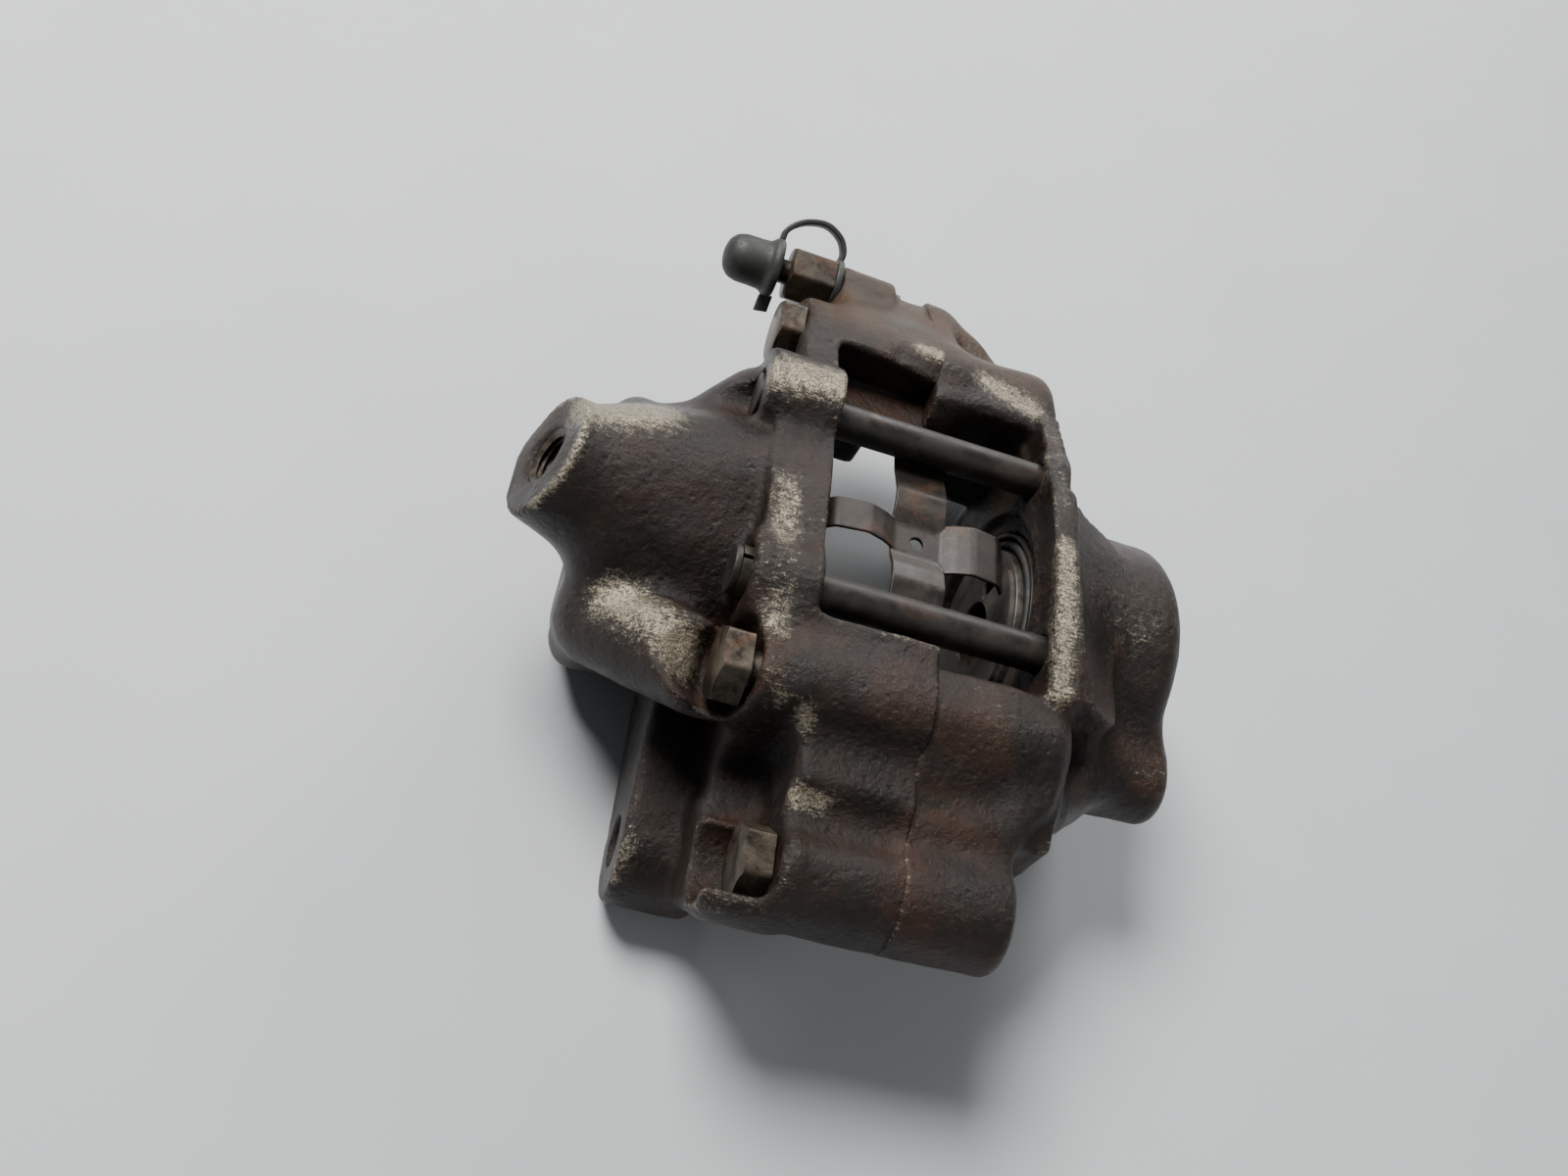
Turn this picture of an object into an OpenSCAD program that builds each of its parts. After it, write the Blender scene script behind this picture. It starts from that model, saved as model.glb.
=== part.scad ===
// Two-piston fixed disc-brake caliper, in millimetres.
// +X is the disc's axis, pointing outboard. +Y runs along the pads, towards the bleed screw.
// +Z points away from the wheel's centre. The origin is where the pistons' axis meets the
// disc's middle plane. Inboard is -X, outboard is +X.

/* [Disc] */
// Radius of the disc that the caliper spans
disc_r = 140; // [138:1:142]
// Height of the disc's rim over the pistons' axis
disc_rim_z = 24; // [23:0.5:25]
// Gap between the halves for the disc, under the bridges
disc_gap = 16; // [14:1:18]
// Radial gap between the disc's rim and the bridges
rim_gap = 2; // [1.5:0.5:2.5]

/* [Pad window] */
// Length of the window along the pads
window_len = 76; // [74:1:77]
// Width of the window, wall to wall
window_w = 50; // [49:1:52]
// Middle of the window along Y, in the inboard half
window_mid_in = 7.5; // [7:0.5:8]
// Middle of the window along Y, in the outboard half
window_mid_out = 4; // [3:0.5:5]

/* [Pistons] */
// Diameter of both pistons
piston_d = 42; // [41:0.5:42]
// Length of both pistons
piston_len = 30; // [28:1:31]
// Radial clearance of the piston in its bore
piston_gap = 0.05; // [0.03:0.01:0.08]
// Outer radius of both cylinders
cylinder_r = 30.5; // [30:0.5:31.5]

/* [Halves] */
// Outer radius of the inboard bridges, from the disc's centre
bridge_r_in = 154; // [153:0.5:155]
// Outer radius of the outboard bridges, from the disc's centre
bridge_r_out = 152.5; // [152:0.5:153.5]
// Thickness of the inboard bridges along the disc's axis
bridge_w_in = 36; // [35:1:38]
// Thickness of the outboard bridges along the disc's axis
bridge_w_out = 30; // [29:1:32]
// Distance of the inboard cylinder's end from the disc's middle plane
end_in = 71; // [70:1:73]
// Distance of the outboard cylinder's end from the disc's middle plane
end_out = 62; // [60:1:64]

/* [Bridge bolts] */
// Diameter of the bridge bolts' shanks
bolt_d = 8; // [7:0.5:8]
// Width across the flats of their heads
bolt_flats = 14; // [13:0.5:15]
// Height of their heads
bolt_head_h = 6; // [5.5:0.5:7]
// Distance of the bolts' axes from the disc's centre
bolt_circle_r = 148; // [147.5:0.5:148.5]

/* [Pad pins] */
// Diameter of the pad retaining pins
pin_d = 8; // [7:0.5:8]
// Place of the upper pin along Y
pin_up_y = 24; // [23:0.5:24.5]
// Place of the lower pin along Y
pin_low_y = -23; // [-24:0.5:-22.5]
// Height of the pins over the pistons' axis
pin_z = 30; // [29.5:0.5:30.5]

/* [Mounting] */
// Height of the mounting holes, below the pistons' axis
lug_drop = 18; // [17:0.5:18]
// Place of the lower mounting hole along Y
lug_low_y = -62; // [-63:0.5:-61]
// Place of the upper mounting hole along Y
lug_up_y = 48; // [47:1:50]
// Thread radius of the mounting holes, at the crests
lug_hole_r = 5.25; // [5:0.25:5.5]

/* [Hidden] */
$fn = 64;
eps = 0.01;                                     // overshoot of a cut past a face

disc_z = disc_rim_z - disc_r;                   // height of the disc's centre
rim_r = disc_r + rim_gap;                       // inner radius of the bridges
wall_x = window_w / 2;                          // inner face of both walls
win_y = window_len / 2;
piston_r = piston_d / 2;
bore_r = piston_r + piston_gap;
pin_r = pin_d / 2;
pin_ys = [pin_low_y, pin_up_y];
sleeve_r = 5.2;                                 // outside of the pins' slit sleeves
pin_end_x = wall_x + 5.5;                       // outboard ends of the pins
fit = 0.05;                                     // clearance of a close fit, on the radius

end_boss_y = 74;                                // rounded ends of the bridges
end_boss_r = 11;
bolt_boss_r = 8.5;                              // swellings round the bolts near the window
bolt_tip_x = 24;                                // blind end of the bolts' threads

chamber = 4;                                    // fluid space behind each piston
piston_back = wall_x - 1 + piston_len;          // distance of the pistons' closed ends
bore_end = piston_back + chamber;
seal_x = wall_x + 12;                           // first side of the seal's groove
seal_w = 4;
seal_depth = 3;
mouth_r = 25.5;                                 // recess for the boot and its ring
mouth_depth = 6;

port_face = [-82, -5, 26];                      // middle of the hose port's face
port_tilt = 24.5;                               // lean of its axis, away from the wheel
port_axis = [cos(port_tilt), 0, -sin(port_tilt)]; // from the face into the casting
port_r = 13.5;
port_flare = 4;
port_hole_r = 5.25;
port_hole_len = 15;

deep_x = -24;                                   // face of the inboard bridges' thin outer ends
bleed_y = 78;                                   // the bleed screw's axis
bleed_z = 19.5;
bleed_seat_x = deep_x;

head_pocket_r = 9;                              // spot faces of the bolts' heads
lug_face = 48;                                  // distance of the mounting face from the disc
pin_head_x = -wall_x - 16;
lobe_r = 9;                                     // long lobe beside the outboard cylinder
transfer_y = -58;                               // fluid passage across the joint face
transfer_r = 1.6;
transfer_seat_r = 3.6;
transfer_seat_x = 1.6;                          // depth of the seal's seat in each half

// Height of a point of the circle of radius r round the disc's centre.
function arc_z(r, y) = disc_z + sqrt(r * r - y * y);
function bolt_z(y) = arc_z(bolt_circle_r, y);
transfer_z = bolt_z(transfer_y) - 0.9;          // midway through the bridge's thickness

// Bolts as [x of the head's seat, y, z]: one at the upper end, two at the lower.
bolt_axes = [[-33, 54, bolt_z(54)], [-bridge_w_in, -42, bolt_z(42)], [deep_x, -74, bolt_z(74)]];
low_bolt = bolt_axes[2];

// A straight round bar along X.
module bar(x0, x1, r, y = 0, z = 0) {
    translate([x0, y, z]) rotate([0, 90, 0]) cylinder(h = x1 - x0, r = r);
}

// A round bar between two points, with a radius at each end.
module rod(a, b, r1, r2) {
    v = b - a;
    len = norm(v);
    translate(a) rotate([0, acos(v[2] / len), atan2(v[1], v[0])]) cylinder(h = len, r1 = r1, r2 = r2);
}

// A flat shape drawn in Y and Z, made thick along X.
module slab(x0, x1) {
    translate([x0, 0, 0]) rotate([90, 0, 90]) linear_extrude(x1 - x0) children();
}

// A ring round the pistons' axis: profile points are [distance from the disc plane, radius].
module turned(points, side) {
    rotate([0, 90 * side, 0]) rotate_extrude($fn = 96) polygon([for (p = points) [p[1], p[0]]]);
}

// Outline of both bridges in Y and Z, out to radius r from the disc's centre.
module bridge_outline(r, mid) {
    difference() {
        union() {
            intersection() {
                translate([0, disc_z]) circle(r = r, $fn = 180);
                translate([-end_boss_y, 0]) square([2 * end_boss_y, 60]);
            }
            translate([-end_boss_y, bolt_z(end_boss_y)]) circle(r = end_boss_r);
            // the upper end is one full rounded block
            hull() {
                translate([50, 19.5]) circle(r = 12.3);
                translate([end_boss_y, bolt_z(end_boss_y)]) circle(r = end_boss_r);
            }
            for (b = [bolt_axes[0], bolt_axes[1]]) translate([b[1], b[2]]) circle(r = bolt_boss_r);
        }
        translate([0, disc_z]) circle(r = rim_r, $fn = 180);
        translate([mid - win_y, 0]) square([window_len, 60]);
    }
}

// Outline of the arms beside the pads, from the bridges down to the cylinder.
module arm_outline(r, mid) {
    intersection() {
        translate([0, disc_z]) circle(r = r, $fn = 180);
        union() {
            translate([mid + win_y, -22]) square([20, 62]);
            translate([-62, -22]) square([62 + mid - win_y, 62]);
        }
    }
}

// Outline of the wall between the window and the cylinder.
module wall_outline(r, y0, y1) {
    intersection() {
        translate([0, disc_z]) circle(r = r, $fn = 180);
        translate([y0, -26]) square([y1 - y0, 70]);
    }
}

// Outline of a mounting lug's arm, running down from the cylinder.
module lug_outline(y) {
    hull() {
        translate([y, -lug_drop]) circle(r = 12.5, $fn = 32);
        translate([sign(y) * 14, -10]) circle(r = 16, $fn = 32);
    }
}

// The bore, seal groove and boot recess of one cylinder.
module cylinder_cut(side) {
    turned([[wall_x - 1, 0], [wall_x - 1, mouth_r], [wall_x + mouth_depth, mouth_r],
        [wall_x + mouth_depth, bore_r], [seal_x, bore_r], [seal_x, bore_r + seal_depth],
        [seal_x + seal_w, bore_r + seal_depth], [seal_x + seal_w, bore_r],
        [bore_end, bore_r], [bore_end, 0]], side);
}

// Fluid passages of one half: from the cylinder's back to the joint face at the lower bridge.
module passages(side) {
    corner = [side * 14, transfer_y, transfer_z];
    rod([-side * eps, transfer_y, transfer_z], corner, transfer_r, transfer_r);
    rod(corner, [side * (bore_end - 2), -12, 4], transfer_r, transfer_r);
}

module bolt_holes(x0, x1, r) {
    for (b = bolt_axes) bar(x0, x1, r, b[1], b[2]);
}

module inboard_housing() color([0.27, 0.21, 0.18]) difference() {
    union() {
        difference() {
            slab(-bridge_w_in, 0) bridge_outline(bridge_r_in, window_mid_in);
            // the upper end is thinner, and thinner still where the bleed screw sits
            translate([-60, 40, -20]) cube([60 + bolt_axes[0][0], 60, 80]);
            translate([-60, 62, -20]) cube([60 + deep_x, 60, 80]);
            // recess between the two lower bolts
            translate([-60, -66, 7]) cube([60 + deep_x, 15, 60]);
        }
        difference() {
            slab(-bridge_w_in + 1, -disc_gap / 2) arm_outline(bridge_r_in, window_mid_in);
            translate([-disc_gap / 2 - 16, 0, disc_z]) rotate([0, 90, 0])
                cylinder(h = 20, r = rim_r - 22, $fn = 180);
            translate([-60, 40, -60]) cube([60 + bolt_axes[0][0], 60, 120]);
        }
        slab(-bridge_w_in - 2, -wall_x) wall_outline(bridge_r_in - 2, -33, 30);
        slab(bolt_axes[0][0], -wall_x) wall_outline(bridge_r_in, 20, 47);
        turned([[wall_x, 0], [wall_x, cylinder_r], [end_in - 9, cylinder_r],
            [end_in - 3, cylinder_r - 4], [end_in, cylinder_r - 12], [end_in, 0]], -1);
        // raised boss of the upper pin, and the lower one in the wall
        bar(-wall_x - 17, -wall_x + 0.5, 11, pin_up_y, pin_z);
        bar(-wall_x - 14, -wall_x, 9.5, pin_low_y, pin_z - 1);
        // boss of the bleed screw's thread
        bar(deep_x, deep_x + 14, 5.6, bleed_y, bleed_z);
        // hose port
        rod(port_face, port_face + 42 * port_axis, port_r, port_r + port_flare);
        rod([-66, 0, 23], [-42, 6, 20], 11.5, 15);
        // ribs over the fluid passages
        hull() {
            translate([-61, -27, 6]) sphere(r = 10, $fn = 32);
            translate([-38, -45, 25]) sphere(r = 9, $fn = 32);
        }
        hull() {
            translate([-58, 8, 8]) sphere(r = 12, $fn = 32);
            translate([-40, 30, 20]) sphere(r = 9, $fn = 32);
        }
        // mounting lugs, and the web that ties the lower one to the bridge
        for (y = [lug_low_y, lug_up_y]) slab(-lug_face, -30) lug_outline(y);
        slab(-bridge_w_in, -20) hull() {
            translate([lug_low_y, -lug_drop + 2]) circle(r = 10, $fn = 32);
            translate([-end_boss_y, low_bolt[2]]) circle(r = end_boss_r, $fn = 32);
        }
    }
    cylinder_cut(-1);
    passages(-1);
    rod(port_face - port_axis, port_face + port_hole_len * port_axis, port_hole_r, port_hole_r);
    rod(port_face, port_face + 27 * port_axis, 2.5, 2.5);
    bolt_holes(-40, eps, bolt_d / 2 + 0.3);
    // pockets for the heads of the bolts
    for (b = bolt_axes) bar(-60, b[0], head_pocket_r, b[1], b[2]);
    translate([-60, -end_boss_y, low_bolt[2]]) cube([60 + deep_x, 23, 40]);
    translate([-60, -90, low_bolt[2] + 7]) cube([60 + deep_x, 23, 40]);
    // pin holes, stepped for the sleeves, with a clear way out past the hose port
    for (y = pin_ys) {
        bar(-60, -wall_x + 10, pin_r + fit, y, pin_z);
        bar(-100, -wall_x - 7, sleeve_r + 0.07, y, pin_z);
    }
    bar(-100, pin_head_x, sleeve_r + 0.4, pin_low_y, pin_z);
    for (y = [lug_low_y, lug_up_y]) bar(-lug_face - 1, -29, lug_hole_r, y, -lug_drop);
    // bleed screw: thread, then its seat and the passage to the cylinder
    bar(bleed_seat_x - 1, -6, 3.5, bleed_y, bleed_z);
    rod([-10, bleed_y - 1, bleed_z - 1], [-20, 40, 16], 1.5, 1.5);
    rod([-20, 40, 16], [-bore_end + 2, 13, 4], 1.5, 1.5);
    // seat of the transfer seal in the joint face
    bar(-transfer_seat_x, eps, transfer_seat_r, transfer_y, transfer_z);
}

// Plan of the outboard bridges in X and Y: slanting at the upper end, stepped at the lower one.
module outboard_plan() linear_extrude(100, center = true)
    polygon([[-1, 87], [1, 87], [bridge_w_out + 3, 61], [bridge_w_out + 3, -54], [23, -68], [23, -90],
        [-1, -90]]);

module outboard_housing() color([0.25, 0.2, 0.17]) difference() {
    union() {
        intersection() {
            slab(0, bridge_w_out) bridge_outline(bridge_r_out, window_mid_out);
            outboard_plan();
        }
        difference() {
            slab(disc_gap / 2, bridge_w_out + 2) arm_outline(bridge_r_out, window_mid_out);
            translate([disc_gap / 2 - 4, 0, disc_z]) rotate([0, 90, 0])
                cylinder(h = 20, r = rim_r - 22, $fn = 180);
        }
        intersection() {
            slab(wall_x, 50) wall_outline(bridge_r_out + 1.5, -35, 16);
            rotate([90, 0, 0]) linear_extrude(80, center = true)
                polygon([[wall_x, -30], [wall_x, 45], [wall_x + 5, 45], [wall_x + 5, 37],
                    [wall_x + 18, 27], [wall_x + 18, -30]]);
        }
        slab(wall_x, wall_x + 5) wall_outline(bridge_r_out + 1.5, -35, 43);
        slab(wall_x, wall_x + 9) wall_outline(bridge_r_out - 8, -35, 41);
        turned([[wall_x, 0], [wall_x, cylinder_r], [end_out - 9, cylinder_r],
            [end_out - 3, cylinder_r - 3], [end_out, cylinder_r - 9], [end_out, 0]], 1);
        // bosses that hold the pins' ends
        for (y = pin_ys) bar(wall_x - 1, pin_end_x - 0.5, 6.5, y, pin_z);
        // long lobe beside the cylinder, and the rib over the fluid passage
        bar(wall_x, end_out + 2, lobe_r, -32, 6);
        hull() {
            translate([42, -29, 3]) sphere(r = 7, $fn = 32);
            translate([54, -26, 3]) sphere(r = 7, $fn = 32);
            translate([31, -50, 17]) sphere(r = 6, $fn = 32);
        }
    }
    cylinder_cut(1);
    passages(1);
    bolt_holes(-eps, bolt_tip_x - 3, bolt_d / 2 + fit);
    for (y = pin_ys) bar(wall_x - 3, pin_end_x + 0.5, pin_r + fit, y, pin_z);
    bar(-eps, transfer_seat_x, transfer_seat_r, transfer_y, transfer_z);
}

// Hexagon bolts through the bridges, heads inboard.
module bridge_bolts() color([0.3, 0.27, 0.22]) for (b = bolt_axes) {
    translate([b[0] - bolt_head_h, b[1], b[2]]) rotate([0, 90, 0]) {
        intersection() {
            cylinder(h = bolt_head_h, d = bolt_flats / cos(30), $fn = 6);
            cylinder(h = bolt_head_h, r1 = bolt_flats / 2, r2 = bolt_flats / 2 + bolt_head_h);
        }
        cylinder(h = bolt_tip_x - 4 - b[0] + bolt_head_h, d = bolt_d);
    }
}

// Square-section ring that seals the fluid passage across the joint face.
module transfer_seals() color([0.06, 0.06, 0.06]) difference() {
    bar(0.1 - transfer_seat_x, transfer_seat_x - 0.1, transfer_seat_r - 0.1, transfer_y, transfer_z);
    bar(-2, 2, transfer_r + 0.4, transfer_y, transfer_z);
}

// Hollow steel cup, open towards the pad, with a groove for the boot's lip.
boot_groove_r = piston_r - 2;
module piston(side) turned([[wall_x - 1, piston_r - 6], [wall_x - 1, piston_r],
    [wall_x + 1, piston_r], [wall_x + 1, boot_groove_r], [wall_x + 3, boot_groove_r],
    [wall_x + 3, piston_r], [piston_back - 1, piston_r], [piston_back, piston_r - 1],
    [piston_back, 0], [piston_back - 6, 0], [piston_back - 6, piston_r - 6]], side);
module inboard_piston() color([0.55, 0.53, 0.5]) piston(-1);
module outboard_piston() color([0.55, 0.53, 0.5]) piston(1);

// Square-section rubber ring in the bore's groove.
module piston_seal(side) turned([[seal_x + 0.2, piston_r + 0.1], [seal_x + 0.2, bore_r + seal_depth - 0.1],
    [seal_x + seal_w - 0.2, bore_r + seal_depth - 0.1], [seal_x + seal_w - 0.2, piston_r + 0.1]], side);
module inboard_piston_seal() color([0.06, 0.06, 0.06]) piston_seal(-1);
module outboard_piston_seal() color([0.06, 0.06, 0.06]) piston_seal(1);

// Folded rubber boot from the bore's mouth to the groove of the piston.
module dust_boot(side) turned([[wall_x + 1.2, boot_groove_r + 0.2], [wall_x + 1.2, piston_r + 0.5],
    [wall_x + 0.2, piston_r + 1], [wall_x + 0.2, piston_r + 2], [wall_x + 3.6, piston_r + 2.6],
    [wall_x + 3.6, mouth_r - 1.3], [wall_x + 5.9, mouth_r - 1.3], [wall_x + 5.9, piston_r + 1.6],
    [wall_x + 3.6, piston_r + 1.2], [wall_x + 2.8, piston_r + 0.5],
    [wall_x + 2.8, boot_groove_r + 0.2]], side);
module inboard_dust_boot() color([0.08, 0.08, 0.08]) dust_boot(-1);
module outboard_dust_boot() color([0.08, 0.08, 0.08]) dust_boot(1);

// Sprung metal ring that clamps the boot's outer bead.
module boot_ring(side) turned([[wall_x + 0.4, mouth_r - 1.2], [wall_x + 0.4, mouth_r - 0.05],
    [wall_x + 5.9, mouth_r - 0.05], [wall_x + 5.9, mouth_r - 1.2]], side);
module inboard_boot_ring() color([0.45, 0.4, 0.33]) boot_ring(-1);
module outboard_boot_ring() color([0.45, 0.4, 0.33]) boot_ring(1);

// Thin stepped plate across the piston's open end, with a cut-away quarter.
module heat_shield(side) difference() {
    turned([[wall_x - 2, 8], [wall_x - 2, piston_r - 1], [wall_x - 1, piston_r - 1],
        [wall_x - 1, piston_r - 6.1], [wall_x + 4, piston_r - 6.1], [wall_x + 4, piston_r - 7],
        [wall_x - 1, piston_r - 7], [wall_x - 1, 8]], side);
    translate([side * wall_x - 4, 6, 6]) cube([8, 30, 30]);
}
module inboard_heat_shield() color([0.4, 0.38, 0.34]) heat_shield(-1);
module outboard_heat_shield() color([0.4, 0.38, 0.34]) heat_shield(1);

// Pad retaining pin, with a head at its inboard end.
module pad_pin(y) {
    bar(pin_head_x, pin_end_x, pin_r, y, pin_z);
    bar(pin_head_x - 1.5, pin_head_x, sleeve_r - 0.2, y, pin_z);
}
module pad_pin_upper() color([0.3, 0.28, 0.26]) pad_pin(pin_up_y);
module pad_pin_lower() color([0.3, 0.28, 0.26]) pad_pin(pin_low_y);

// Slit sleeve that grips the pin in its hole.
module pin_sleeve(y) difference() {
    bar(pin_head_x, -wall_x - 7.1, sleeve_r, y, pin_z);
    bar(pin_head_x - 1, -wall_x, pin_r + fit, y, pin_z);
    translate([pin_head_x - 1, y - 0.5, pin_z + 2]) cube([20, 1, 6]);
}
module pin_sleeve_upper() color([0.5, 0.48, 0.44]) pin_sleeve(pin_up_y);
module pin_sleeve_lower() color([0.5, 0.48, 0.44]) pin_sleeve(pin_low_y);

// A bent strip: centreline points [along, height] in the plane of Z, width w, thickness t.
function strip_normal(p, i) = let (a = p[max(i - 1, 0)], b = p[min(i + 1, len(p) - 1)], d = b - a)
    [-d[1], d[0]] / norm(d);
module strip(p, w, t) {
    n = len(p);
    side_up = [for (i = [0 : n - 1]) p[i] + strip_normal(p, i) * t / 2];
    side_down = [for (i = [n - 1 : -1 : 0]) p[i] - strip_normal(p, i) * t / 2];
    rotate([90, 0, 0]) translate([0, 0, -w / 2]) linear_extrude(w) polygon(concat(side_up, side_down));
}

// Cross-shaped sheet spring that holds the pads down, caught under both pins.
spring_t = 0.8;
spring_x = -2;
spring_z = 25.4;                                // height of its middle plate
module cross_spring() color([0.22, 0.2, 0.19]) translate([spring_x, 0, 0]) difference() {
    union() {
        rotate([0, 0, 90]) strip([[-29.6, 26.2], [-28, 25.2], [-23, 25.1], [-18, 25.6], [-12, 27.8],
            [-8, 27.2], [-4, spring_z], [4, spring_z], [8, 27.2], [12, 27.8], [19, 25.6], [24, 25.1],
            [28, 25.2], [31, 27]], 12, spring_t);
        translate([0, 1, 0]) strip([[-22, 25], [-19, 27.5], [-12, 28.5], [-8, 27.2], [-5, spring_z],
            [0, spring_z]], 8, spring_t);
        strip([[0, spring_z], [5, spring_z], [8, 27.2], [12, 28.5], [18, 27.5], [21, 23.5]], 13, spring_t);
        translate([-6, -6, spring_z - spring_t / 2]) cube([12, 12, spring_t]);
    }
    translate([0, 0, spring_z - 5]) cylinder(h = 10, r = 1.5);
}

// Hexagon bleed screw with a nipple for the hose, turned about X.
bleed_flats = 12.5;
bleed_hex_h = 11;
bleed_hex_x = -bleed_seat_x + 2;                // room for the strap's ring under the hexagon
bleed_tip_x = bleed_hex_x + bleed_hex_h + 9;
module bleed_screw() color([0.33, 0.29, 0.25]) translate([0, bleed_y, bleed_z]) rotate([0, -90, 0])
difference() {
    union() {
        translate([0, 0, 8]) cylinder(h = bleed_hex_x - 8, r = 3.45);
        translate([0, 0, bleed_hex_x]) cylinder(h = bleed_hex_h, d = bleed_flats / cos(30), $fn = 6);
        translate([0, 0, bleed_hex_x]) cylinder(h = bleed_tip_x - bleed_hex_x, r = 3);
        translate([0, 0, bleed_tip_x - 4]) cylinder(h = 4, r1 = 4, r2 = 3);
    }
    translate([0, 0, 12]) cylinder(h = 40, r = 1);
}

// Rubber dust cap over the nipple.
cap_x = bleed_hex_x + bleed_hex_h + 2.5;        // distance of its open end from the joint
cap_r = 6;
flange_r = 7.5;
module bleeder_cap() color([0.14, 0.15, 0.14]) translate([-cap_x, bleed_y, bleed_z]) rotate([0, -90, 0])
    difference() {
        rotate_extrude() polygon([[0, 0], [flange_r, 0], [flange_r, 2], [cap_r, 3], [cap_r, 10],
            [cap_r - 1.2, 12.5], [cap_r - 3.5, 14], [0, 14]]);
        translate([0, 0, -1]) cylinder(h = 11, r = 4.3);
    }

// Rubber ring round the screw, and the looped strap that keeps the cap.
strap_w = 3.5;
strap_t = 1.3;
strap_turn = 40;                                // the loop's lean from +Y towards +Z
module cap_strap() color([0.14, 0.15, 0.14]) translate([0, bleed_y, bleed_z])
rotate([strap_turn - 90, 0, 0]) {
    difference() {
        bar(bleed_seat_x - 1.8, bleed_seat_x - 0.2, 7, 0, 0);
        bar(bleed_seat_x - 3, bleed_seat_x, 4.3, 0, 0);
    }
    strip([[bleed_seat_x - 1, 6.5], [bleed_seat_x - 1, 10], [bleed_seat_x - 4, 13], [bleed_seat_x - 8, 14],
        [-cap_x + 3, 13], [-cap_x - 0.6, 10.5], [-cap_x - 1, flange_r + 0.3]], strap_w, strap_t);
}

inboard_housing();
outboard_housing();
bridge_bolts();
transfer_seals();
inboard_piston();
outboard_piston();
inboard_piston_seal();
outboard_piston_seal();
inboard_dust_boot();
outboard_dust_boot();
inboard_boot_ring();
outboard_boot_ring();
inboard_heat_shield();
outboard_heat_shield();
pad_pin_upper();
pad_pin_lower();
pin_sleeve_upper();
pin_sleeve_lower();
cross_spring();
bleed_screw();
bleeder_cap();
cap_strap();
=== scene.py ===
"""Looks of a two-piston fixed brake caliper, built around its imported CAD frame.

The row frame is in metres: +X outboard along the disc's axis, +Y towards the bleed screw, +Z away from the
wheel's centre, origin on the pistons' axis at the disc's middle plane. This script works in millimetres and
scales each mesh by MM. The two castings are signed-distance fields, blended like sand castings and meshed.
"""
import math

import bmesh
import bpy
import numpy as np
import openvdb
from mathutils import Matrix, Vector


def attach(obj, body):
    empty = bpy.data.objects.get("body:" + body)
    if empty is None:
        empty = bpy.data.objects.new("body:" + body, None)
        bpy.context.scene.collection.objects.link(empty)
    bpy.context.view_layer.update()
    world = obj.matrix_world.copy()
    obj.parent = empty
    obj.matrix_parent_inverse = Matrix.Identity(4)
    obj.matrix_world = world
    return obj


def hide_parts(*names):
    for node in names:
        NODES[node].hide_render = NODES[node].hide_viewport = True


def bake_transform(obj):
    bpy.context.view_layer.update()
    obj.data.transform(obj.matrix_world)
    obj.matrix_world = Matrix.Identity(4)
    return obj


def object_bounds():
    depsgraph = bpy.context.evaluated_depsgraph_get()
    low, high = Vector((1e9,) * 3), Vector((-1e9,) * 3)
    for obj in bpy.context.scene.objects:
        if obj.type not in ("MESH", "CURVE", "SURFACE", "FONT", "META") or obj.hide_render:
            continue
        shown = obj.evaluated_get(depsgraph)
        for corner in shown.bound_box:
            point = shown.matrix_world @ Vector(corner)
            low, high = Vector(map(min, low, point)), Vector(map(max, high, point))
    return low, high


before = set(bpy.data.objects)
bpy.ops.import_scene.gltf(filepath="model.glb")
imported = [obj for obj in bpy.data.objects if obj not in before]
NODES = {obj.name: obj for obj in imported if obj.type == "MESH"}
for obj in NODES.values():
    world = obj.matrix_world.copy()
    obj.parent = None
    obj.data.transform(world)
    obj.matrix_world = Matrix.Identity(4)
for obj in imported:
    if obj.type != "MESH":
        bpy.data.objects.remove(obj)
CAD_BOX = [list(corner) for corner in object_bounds()]

MM = 0.001

# ---------------------------------------------------------------- places and sizes, as in the CAD, in mm
# the disc and the bridges over it
DISC_Z = -116.0
DISC_HALF = 8.0
RIM_R = 142.0
BRIDGE_R_IN = 154.0
BRIDGE_R_OUT = 152.5
UPPER_R = 154.5
BRIDGE_OVER_X = 5.0
JOINT_LAP = 0.5

# walls, pad window and arms
WALL_X = 25.0
WALL_LOW_Z = -26.0
ARM_LOW_Z = -22.0
TOP_Z = 60.0
WINDOW_IN = (-30.5, 45.5)
WINDOW_OUT = (-34.0, 42.0)
HOLLOW_R = RIM_R - 22.0
HOLLOW_X = 14.0
HOLLOW_HALF = 10.0
OUT_ARM_X = 30.0

# cylinders and pistons
PISTON_R = 21.0
CUP_LENGTH = 30.0
CUP_HOLE_R = 15.0
BORE_R = 21.05
MOUTH_R = 25.5
CYL_R = 30.5
END_IN = 71.0
END_OUT = 62.0

# pad pins and their bosses
PIN_R = 4.0
PIN_Z = 30.0
PIN_UP_Y = 24.0
PIN_LOW_Y = -23.0
PIN_HOLE_GAP = 0.15
SLEEVE_R = 5.27
BOSS_END_X = -42.0

# mounting lugs
LUG_FACE_X = -48.0
LUG_BACK_X = -30.0
LUG_Z = -18.0
LUG_LOW_Y = -62.0
LUG_UP_Y = 48.0
LUG_HOLE_R = 5.25

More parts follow.
